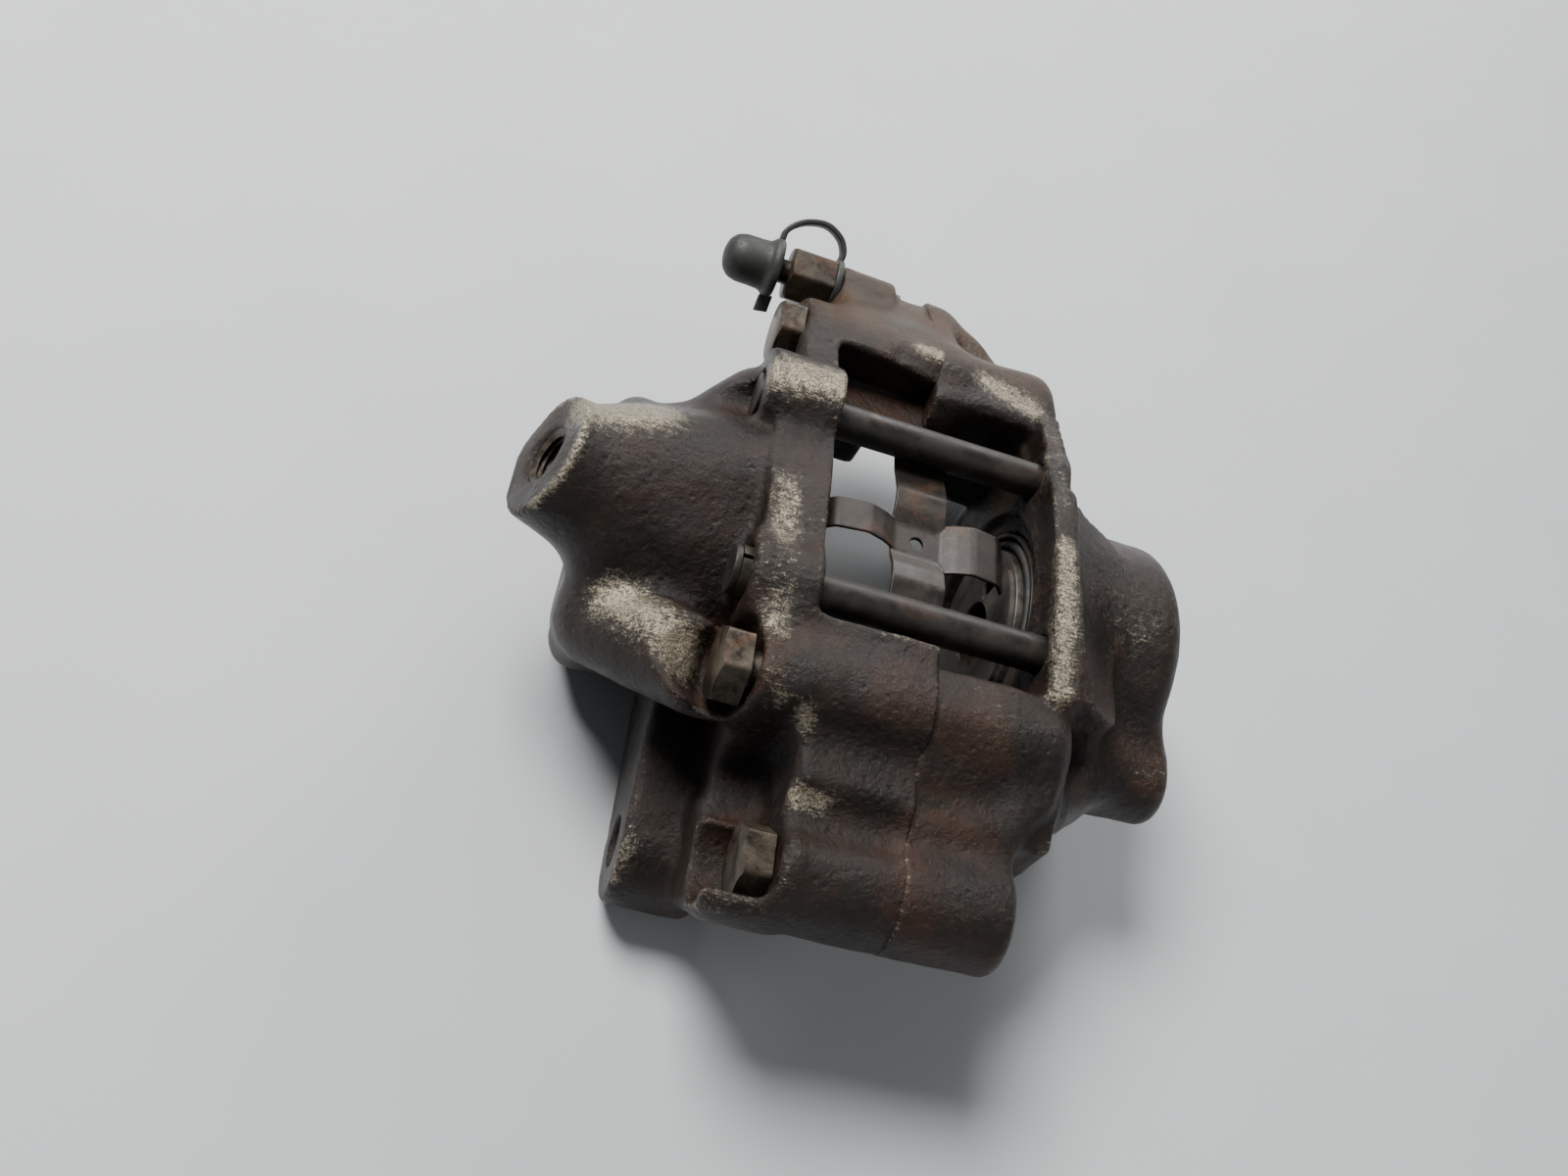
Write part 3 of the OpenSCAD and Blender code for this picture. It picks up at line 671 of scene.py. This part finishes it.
def port_thread():
    """The thread of the hose port, as a thin turned sleeve with ridges, set along the port's axis."""
    bm = bmesh.new()
    count = int((PORT_HOLE_LEN - 1) / THREAD_PITCH)
    root_r = PORT_HOLE_R + 0.45
    crest_r = PORT_HOLE_R - 0.3
    outer_r = PORT_HOLE_R + 1.5
    profile = []
    for i in range(count):
        x = THREAD_START + i * THREAD_PITCH
        profile += [(x, root_r), (x + THREAD_PITCH / 2, crest_r)]
    thread_end = THREAD_START + count * THREAD_PITCH
    sleeve_end = thread_end + 0.6
    profile += [(thread_end, crest_r), (thread_end, ON_AXIS), (sleeve_end, ON_AXIS)]
    profile += [(sleeve_end, outer_r), (0.4, outer_r)]
    turned(bm, profile, 0, 0, turns=72)
    o = finish_mesh(fix_axis(bm), "hose_port_thread", sharp=60)
    turn = Vector((1, 0, 0)).rotation_difference(Vector(PORT_AXIS)).to_matrix().to_4x4()
    o.data.transform(Matrix.Translation(Vector(PORT_FACE) * MM) @ turn)
    return o


def pad_pin(name, y):
    """A pin with a thin flat head inboard and a bevelled tip outboard."""
    bm = bmesh.new()
    head = -WALL_X - 16
    tip = WALL_X + 5.5
    profile = [(head - 1.5, ON_AXIS), (head - 1.5, PIN_R + 1), (head, PIN_R + 1), (head, PIN_R),
               (tip - 1, PIN_R), (tip, PIN_R - 1), (tip, ON_AXIS)]
    turned(bm, rounded(profile, 0.3), y, PIN_Z, turns=64)
    return finish_mesh(fix_axis(bm), name)


# bends of the spring's two strips, as (place along the strip, height)
LONG_BENDS = [
    (-29.6, 26.2), (-28, 25.2), (-23, 25.1), (-18, 25.6), (-12, 27.8), (-8, 27.2), (-4, 25.4),
    (4, 25.4), (8, 27.2), (12, 27.8), (19, 25.6), (24, 25.1), (28, 25.2), (31, 27)]
CROSS_BENDS = [
    (-22, 25), (-19, 27.5), (-12, 28.5), (-8, 27.2), (-5, 25.4),
    (5, 25.4), (8, 27.2), (12, 28.5), (18, 27.5), (21, 23.5)]
SPRING_STEP = 0.2


def bent_sheet(along, z, bends):
    """Distance to a sheet that bends along one axis, its bends smoothed."""
    height = np.interp(along.ravel(), [b[0] for b in bends], [b[1] for b in bends])
    height = np.convolve(np.pad(height, 4, mode="edge"), np.ones(9) / 9, "valid")
    slope = np.gradient(height, SPRING_STEP).reshape(along.shape)
    height = height.reshape(along.shape)
    return (np.abs(z - height) / np.sqrt(1 + slope ** 2) - SPRING_T / 2).astype(np.float32)


def cross_spring():
    """The pressed sheet spring: two crossing strips of one thickness, with a round hole in the middle."""
    f = Field((-26, -33, 21), (21, 33, 30.5), SPRING_STEP, seed=3)
    x, y, z = f.x - SPRING_X, f.y, f.z
    long_strip = edge_round(span(x, -6, 6), span(y, *SPRING_END_Y), 1.5)
    left_strip = edge_round(span(x, -22, 2), span(y, -3, 5), 1.0)
    right_strip = edge_round(span(x, -2, 21), span(y, -6.5, 6.5), 2.0)
    cross_strip = blend_union(left_strip, right_strip, 1.0)
    long_way = edge_round(bent_sheet(y, z, LONG_BENDS), long_strip, 0.2)
    cross_way = edge_round(bent_sheet(x, z, CROSS_BENDS), cross_strip, 0.2)
    d = blend_union(long_way, cross_way, 0.3)
    d = np.maximum(d, 1.5 - np.hypot(x, y))
    return mesh_from(f, d.astype(np.float32), "pressed_cross_spring", curved_mm=0.8)


def dust_boot(name, side):
    """A rubber ring with one fold, from the sprung ring in to the piston's groove."""
    bm = bmesh.new()
    outline = [(1.3, 19.3), (1.2, 21.4), (0.3, 22), (0.2, 23), (1.2, 23.7), (3.6, 23.9),
               (3.8, 24.2), (5.8, 24.2), (5.8, 22.6), (3.8, 22.2), (2.9, 21.4), (2.8, 19.3)]
    profile = [(WALL_X + x, r) for x, r in outline]
    turned(bm, rounded(profile, 0.4), 0, 0, side)
    return finish_mesh(bm, name)


def boot_ring(name, side):
    bm = bmesh.new()
    front = WALL_X + 0.4
    back = WALL_X + 5.9
    profile = [(front, 24.3), (front, 25.4), (back, 25.4), (back, 24.3)]
    turned(bm, rounded(profile, 0.3), 0, 0, side)
    return finish_mesh(bm, name)


def piston_cup(name, side):
    """A cup open towards the disc, with the groove of its boot near the open end."""
    bm = bmesh.new()
    front = WALL_X - 1
    back = front + CUP_LENGTH
    groove_r = PISTON_R - 2
    profile = [(front, CUP_HOLE_R), (front, PISTON_R), (front + 2, PISTON_R), (front + 2, groove_r),
               (front + 4, groove_r), (front + 4, PISTON_R), (back - 1, PISTON_R), (back, PISTON_R - 1),
               (back, ON_AXIS), (back - 6, ON_AXIS), (back - 6, CUP_HOLE_R)]
    turned(bm, rounded(profile, 0.35), 0, 0, side)
    return finish_mesh(fix_axis(bm), name)


def bleed_screw():
    """The hexagon, hose nipple and stem of the bleed screw, with the bore along its axis."""
    bm = bmesh.new()
    hex_end = HEX_X - HEX_H
    hex_head(bm, hex_end, HEX_X, BLEED_FLATS, BLEED_Y, BLEED_Z, 0.3)
    tip = NIPPLE_TIP_X
    profile = [(tip, 1), (tip, 2.6), (tip + 1.4, 3.95), (tip + 2.6, 3.1), (tip + 4, 3.9), (tip + 5.4, 3),
               (hex_end + 1, 3), (hex_end + 1, 5.4), (HEX_X, 5.4), (HEX_X, BLEED_R),
               (BLEED_END_X, BLEED_R), (BLEED_END_X, 1)]
    turned(bm, rounded(profile, 0.2), BLEED_Y, BLEED_Z, turns=64)
    return finish_mesh(bm, "bleed_screw_body")


def rubber_cap():
    """The dust cap with its flange, and the pull tab under the flange."""
    bm = bmesh.new()
    outline = [(0, CAP_HOLE_R), (0, 7.1), (0.9, 7.5), (2, 7.3), (3.2, 6.1), (6, 5.9), (9.5, 5.9),
               (11.8, 5.2), (13.3, 3.6), (13.9, 1.6), (14, ON_AXIS), (11, ON_AXIS), (11, CAP_HOLE_R)]
    profile = [(CAP_X - x, r) for x, r in outline]
    turned(bm, rounded(profile, 0.8), BLEED_Y, BLEED_Z)
    fix_axis(bm)
    tab = Vector((CAP_X - 1, BLEED_Y - 4.6, BLEED_Z - 5.0))
    path = catmull([tab, tab + Vector((-0.2, -1.7, -1.6)), tab + Vector((-0.3, -3.0, -2.8))], 5)
    ribbon(bm, path, (1, 0.2, 0), 3.4, 2.2, 0.8)
    return finish_mesh(bm, "rubber_cap_body", sharp=60)


def looped_strap():
    """The ring behind the hexagon, and the strap that loops from it to the cap's flange."""
    bm = bmesh.new()
    out = Vector((0, math.cos(STRAP_TURN), math.sin(STRAP_TURN)))
    across = Vector((0, -math.sin(STRAP_TURN), math.cos(STRAP_TURN)))
    centre = Vector((0, BLEED_Y, BLEED_Z))
    back = DEEP_X - 1.9
    front = DEEP_X - 0.2
    ring = [(back, CAP_HOLE_R), (back, 7), (front, 7), (front, CAP_HOLE_R)]
    turned(bm, rounded(ring, 0.4), BLEED_Y, BLEED_Z)
    # x and distance from the screw's axis
    route = [(DEEP_X - 1, 6.4), (DEEP_X - 0.9, 9), (DEEP_X - 2.6, 12), (DEEP_X - 6.5, 14),
             (DEEP_X - 11, 13.4), (CAP_X + 1.2, 11.6), (CAP_X - 0.6, 9.4), (CAP_X - 0.9, 7.35)]
    path = catmull([centre + Vector((x, 0, 0)) + out * r for x, r in route], 6)
    ribbon(bm, path, across, 3.6, 1.4, 0.5)
    return finish_mesh(bm, "looped_rubber_strap", sharp=60)


# ---------------------------------------------------------------- materials
class Shader:
    """Short names for building a node material."""

    def __init__(self, name):
        self.mat = bpy.data.materials.new(name)
        self.mat.use_nodes = True
        self.tree = self.mat.node_tree
        self.tree.nodes.clear()
        self.bsdf = self.node("ShaderNodeBsdfPrincipled")
        out = self.node("ShaderNodeOutputMaterial")
        self.link(self.bsdf.outputs[0], out.inputs["Surface"])
        where = self.node("ShaderNodeTexCoord")
        scale = self.node("ShaderNodeMapping")
        scale.inputs["Scale"].default_value = (1000, 1000, 1000)
        self.link(where.outputs["Object"], scale.inputs["Vector"])
        self.mm = scale.outputs["Vector"]

    def node(self, kind, **values):
        n = self.tree.nodes.new(kind)
        for key, value in values.items():
            setattr(n, key, value)
        return n

    def link(self, a, b):
        self.tree.links.new(a, b)

    def put(self, value, socket):
        if hasattr(value, "is_output"):
            self.link(value, socket)
        else:
            socket.default_value = value

    def noise(self, size_mm, detail=4, rough=0.6, warp=0.0):
        n = self.node("ShaderNodeTexNoise")
        self.link(self.mm, n.inputs["Vector"])
        n.inputs["Scale"].default_value = 1 / size_mm
        n.inputs["Detail"].default_value = detail
        n.inputs["Roughness"].default_value = rough
        n.inputs["Distortion"].default_value = warp
        return n.outputs["Fac"]

    def cells(self, size_mm):
        n = self.node("ShaderNodeTexVoronoi")
        self.link(self.mm, n.inputs["Vector"])
        n.inputs["Scale"].default_value = 1 / size_mm
        return n.outputs["Distance"]

    def streaks(self, sizes_mm, detail=3):
        """Noise stretched along the axes: sizes are the lengths of its features in X, Y and Z."""
        m = self.node("ShaderNodeMapping")
        m.inputs["Scale"].default_value = [1 / s for s in sizes_mm]
        self.link(self.mm, m.inputs["Vector"])
        n = self.node("ShaderNodeTexNoise")
        n.inputs["Scale"].default_value = 1
        n.inputs["Detail"].default_value = detail
        self.link(m.outputs["Vector"], n.inputs["Vector"])
        return n.outputs["Fac"]

    def attribute(self, name):
        return self.node("ShaderNodeAttribute", attribute_name=name).outputs["Fac"]

    def ramp(self, value, lo, hi, a=0.0, b=1.0):
        n = self.node("ShaderNodeMapRange")
        n.interpolation_type = "SMOOTHSTEP"
        for key, v in (("Value", value), ("From Min", lo), ("From Max", hi), ("To Min", a), ("To Max", b)):
            self.put(v, n.inputs[key])
        return n.outputs["Result"]

    def math(self, op, a, b=0.0):
        n = self.node("ShaderNodeMath", operation=op)
        self.put(a, n.inputs[0])
        self.put(b, n.inputs[1])
        return n.outputs[0]

    def mix(self, fac, a, b):
        n = self.node("ShaderNodeMix", data_type="RGBA")
        self.put(fac, n.inputs[0])
        for value, socket in ((a, n.inputs[6]), (b, n.inputs[7])):
            self.put(value if hasattr(value, "is_output") else (*value, 1), socket)
        return n.outputs[2]

    def bump(self, parts):
        """parts are (height 0..1, depth in mm), stacked."""
        normal = None
        for height, depth in parts:
            n = self.node("ShaderNodeBump")
            n.inputs["Strength"].default_value = 1
            n.inputs["Distance"].default_value = depth * MM
            self.link(height, n.inputs["Height"])
            if normal:
                self.link(normal, n.inputs["Normal"])
            normal = n.outputs["Normal"]
        self.link(normal, self.bsdf.inputs["Normal"])

    def set(self, **values):
        for key, value in values.items():
            self.put(value, self.bsdf.inputs[key.replace("_", " ")])


IRON_BLACK = (0.008, 0.0055, 0.004)
IRON_BROWN = (0.018, 0.011, 0.0075)
IRON_GRAIN = (0.030, 0.019, 0.0125)
IRON_RUST = (0.050, 0.018, 0.007)
# tan tone, also a painted sheen on the upper end
IRON_TAN_SHEEN = (0.060, 0.034, 0.017)
# dirt and painted shade in hollows
IRON_DIRT_AND_SHADE = (0.006, 0.005, 0.004)
# bare metal, also painted highlights on lit rims and edges
BARE_AND_LIT_DULL = (0.16, 0.135, 0.095)
BARE_AND_LIT_BRIGHT = (0.44, 0.385, 0.285)
STEEL_RUST = (0.13, 0.055, 0.025)


def cast_iron_material():
    s = Shader("rusty_cast_iron")
    blotch = s.noise(16, 5, 0.6, 0.4)
    grain = s.noise(1.6, 6, 0.7)
    fine = s.noise(0.45, 4, 0.75)
    scratch = s.streaks((3.0, 0.35, 0.5))
    base = s.mix(s.ramp(blotch, 0.35, 0.65), IRON_BLACK, IRON_BROWN)
    base = s.mix(s.ramp(grain, 0.42, 0.72, 0, 0.55), base, IRON_GRAIN)
    rust_zone = s.noise(24, 6, 0.65, 0.8)
    rust = s.math("MULTIPLY", s.ramp(rust_zone, 0.5, 0.68), s.ramp(fine, 0.35, 0.65, 0.4, 1))
    base = s.mix(s.math("MULTIPLY", rust, 0.7), base, IRON_RUST)
    # the upper end is browner and lighter: a tan tone and a painted sheen where the light falls
    where = s.node("ShaderNodeSeparateXYZ")
    s.link(s.mm, where.inputs[0])
    upper = s.math("MULTIPLY", s.ramp(where.outputs["Y"], 46, 60), s.ramp(where.outputs["Z"], 6, 20))
    base = s.mix(s.math("MULTIPLY", upper, s.ramp(blotch, 0.3, 0.6, 0.35, 0.85)), base, IRON_TAN_SHEEN)
    # darker in hollows: dirt and painted shade
    base = s.mix(s.ramp(s.attribute("hollow_dirt_and_shade"), 0.1, 0.7, 0, 0.8), base, IRON_DIRT_AND_SHADE)
    # bare metal where the surface is rubbed, also painted highlights on the lit rims and edges, broken up by
    # grain and scratches
    speck = s.attribute("wear_and_highlight")
    for noise, weight in ((grain, 1.2), (fine, 1.3), (scratch, 0.9)):
        speck = s.math("ADD", speck, s.math("MULTIPLY", s.math("SUBTRACT", noise, 0.5), weight))
    bare_and_highlight = s.ramp(speck, 0.4, 1.05)
    base = s.mix(bare_and_highlight, base, s.mix(s.ramp(fine, 0.35, 0.65), BARE_AND_LIT_DULL, BARE_AND_LIT_BRIGHT))
    pits = s.cells(2.6)
    s.bump([(s.noise(5, 3), 0.45), (grain, 0.5), (s.ramp(pits, 0.0, 0.35), 0.15), (fine, 0.14)])
    s.set(Base_Color=base, Metallic=s.math("MULTIPLY", bare_and_highlight, 0.8),
          Roughness=s.math("ADD", s.ramp(blotch, 0.3, 0.7, 0.3, 0.46), s.math("MULTIPLY", bare_and_highlight, -0.06)))
    s.bsdf.inputs["Specular IOR Level"].default_value = 0.3
    return s.mat


def steel_material(name, dark, light, rust=0.5, rough=0.4, metal=0.6, highlights=0.35):
    """Stained steel. highlights is how much of the light grain shows."""
    s = Shader(name)
    blotch = s.noise(6, 5, 0.6, 0.5)
    fine = s.noise(0.6, 4, 0.7)
    base = s.mix(s.ramp(blotch, 0.35, 0.65), dark, light)
    stain = s.math("MULTIPLY", s.ramp(s.noise(9, 6, 0.7, 0.7), 0.5, 0.66), rust)
    base = s.mix(stain, base, STEEL_RUST)
    base = s.mix(s.ramp(fine, 0.5, 0.75, 0, highlights), base, [min(1, c * 2.2) for c in light])
    s.bump([(blotch, 0.08), (fine, 0.05)])
    s.set(Base_Color=base, Metallic=s.math("MULTIPLY", s.math("SUBTRACT", 1.0, stain), metal),
          Roughness=s.ramp(blotch, 0.3, 0.7, rough, rough + 0.18))
    return s.mat


def rubber_material(name, tone, dust, shine=0.55):
    s = Shader(name)
    cloud = s.noise(5, 5, 0.6)
    fine = s.noise(0.7, 4, 0.7)
    s.set(Base_Color=s.mix(s.ramp(cloud, 0.4, 0.7, 0, 0.8), tone, dust),
          Roughness=s.ramp(fine, 0.3, 0.7, shine, shine + 0.2))
    s.bump([(cloud, 0.06), (fine, 0.03)])
    return s.mat


def plain_floor_material():
    s = Shader("pale_floor")
    s.set(Base_Color=s.mix(s.noise(60, 3), (0.50, 0.51, 0.52), (0.55, 0.56, 0.57)), Roughness=0.75)
    return s.mat


CAST = cast_iron_material()
BOLT = steel_material("rusty_bolt_steel", (0.018, 0.014, 0.010), (0.085, 0.068, 0.048),
                      rust=0.4, rough=0.3)
DARK = steel_material("dark_screw_steel", (0.022, 0.018, 0.014), (0.06, 0.048, 0.034),
                      rust=0.4, rough=0.38, metal=0.5)
PIN = steel_material("dark_pin_steel", (0.012, 0.0105, 0.009), (0.026, 0.022, 0.018),
                     rust=0.15, rough=0.42, metal=0.3, highlights=0.1)
SPRING = steel_material("spring_sheet", (0.014, 0.011, 0.009), (0.032, 0.024, 0.018),
                        rust=0.3, rough=0.4, metal=0.3)
PISTON = steel_material("piston_chrome", (0.04, 0.035, 0.03), (0.11, 0.1, 0.085),
                        rust=0.4, rough=0.4, metal=0.7)
PLATED = steel_material("dull_plate", (0.02, 0.016, 0.012), (0.05, 0.039, 0.027),
                        rust=0.5, rough=0.45)
SHEET = steel_material("stained_sheet", (0.05, 0.045, 0.04), (0.11, 0.1, 0.085),
                       rust=0.45, rough=0.42)
BOOT = rubber_material("boot_rubber_black", (0.012, 0.012, 0.012), (0.05, 0.043, 0.035))
SEAL = rubber_material("seal_rubber_black", (0.01, 0.01, 0.01), (0.02, 0.02, 0.02), 0.4)
CAP = rubber_material("cap_rubber_grey", (0.014, 0.014, 0.012), (0.032, 0.031, 0.026), 0.5)


# ---------------------------------------------------------------- put the object together
def dress(piece, material, slot, *nodes):
    """Gives a piece its material and hides the CAD nodes it replaces."""
    piece.data.materials.append(material)
    if nodes:
        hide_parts(*nodes)


def place(piece, material, slot, body, *nodes):
    dress(piece, material, slot, *nodes)
    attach(piece, body)


place(inboard_casting(), CAST, "casting", "housing", "inboard_housing")
place(outboard_casting(), CAST, "casting", "housing", "outboard_housing")
place(port_thread(), BOLT, "casting", "housing")
place(bridge_bolts(), BOLT, "bolt_steel", "housing", "bridge_bolts")
place(cross_spring(), SPRING, "spring_steel", "housing", "cross_spring")
place(pad_pin("upper_pin", PIN_UP_Y), PIN, "pin_steel", "pad_pin_upper", "pad_pin_upper")
place(pad_pin("lower_pin", PIN_LOW_Y), PIN, "pin_steel", "pad_pin_lower", "pad_pin_lower")
place(bleed_screw(), DARK, "bolt_steel", "bleed_screw", "bleed_screw")
place(rubber_cap(), CAP, "cap_rubber", "bleeder_cap", "bleeder_cap")

strap = looped_strap()
dress(strap, CAP, "cap_rubber", "cap_strap")
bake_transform(strap)

for half, side in (("inboard", -1), ("outboard", 1)):
    place(piston_cup(half + "_cup", side), PISTON, "piston_steel", half + "_piston", half + "_piston")
    place(boot_ring(half + "_ring", side), PLATED, "plated_steel", "housing", half + "_boot_ring")
    boot = dust_boot(half + "_boot", side)
    dress(boot, BOOT, "boot_rubber", half + "_dust_boot")
    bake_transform(boot)

KEPT = {
    "transfer_seals": SEAL,
    "inboard_piston_seal": SEAL,
    "outboard_piston_seal": SEAL,
    "pin_sleeve_upper": PLATED,
    "pin_sleeve_lower": PLATED,
    "inboard_heat_shield": SHEET,
    "outboard_heat_shield": SHEET,
}
for node, material in KEPT.items():
    data = NODES[node].data
    if not data.materials:
        data.materials.append(material)
    for i in range(len(data.materials)):
        data.materials[i] = material

# ---------------------------------------------------------------- floor, light and camera
FLOOR_HALF = 8000
CAMERA_AT = (-83.2, -171.4, 225.9)
CAMERA_LENS = 29.475
CAMERA_RIGHT = (0.942, 0.095, 0.322)
CAMERA_FORWARD = (0.208, 0.588, -0.782)
# name, place in metres, size in metres, power in watts
LIGHTS = [
    ("key", (-0.45, 0.35, 0.85), 0.5, 20),
    ("fill", (0.8, -0.4, 0.7), 0.8, 2.5),
    ("back", (0.3, 0.9, 0.5), 0.5, 7)]
SKY_COLOUR = (0.75, 0.8, 0.86, 1)
SKY_STRENGTH = 0.16


def floor():
    """A plain floor at the part's lowest point."""
    bm = bmesh.new()
    bmesh.ops.create_grid(bm, x_segments=1, y_segments=1, size=FLOOR_HALF)
    o = finish_mesh(bm, "floor")
    o.location.z = CAD_BOX[0][2]
    o.data.materials.append(plain_floor_material())


def area_light(name, place_m, size_m, power):
    """A round soft light that points at the origin."""
    light = bpy.data.lights.new(name, "AREA")
    light.shape = "DISK"
    light.size = size_m
    light.energy = power
    o = bpy.data.objects.new(name, light)
    o.location = place_m
    o.rotation_euler = (-Vector(place_m)).to_track_quat("-Z", "Y").to_euler()
    bpy.context.scene.collection.objects.link(o)


def soft_sky():
    world = bpy.data.worlds.new("soft_sky")
    world.use_nodes = True
    background = world.node_tree.nodes["Background"]
    background.inputs[0].default_value = SKY_COLOUR
    background.inputs[1].default_value = SKY_STRENGTH
    bpy.context.scene.world = world


def camera():
    right = Vector(CAMERA_RIGHT).normalized()
    forward = Vector(CAMERA_FORWARD).normalized()
    up = right.cross(forward).normalized()
    right = forward.cross(up)
    data = bpy.data.cameras.new("camera")
    data.sensor_width = 36
    data.lens = CAMERA_LENS
    data.clip_start = 0.01
    o = bpy.data.objects.new("camera", data)
    turn = Matrix((right, up, -forward)).transposed().to_4x4()
    o.matrix_world = Matrix.Translation(Vector(CAMERA_AT) * MM) @ turn
    bpy.context.scene.collection.objects.link(o)
    bpy.context.scene.camera = o


floor()
for light_values in LIGHTS:
    area_light(*light_values)
soft_sky()
camera()
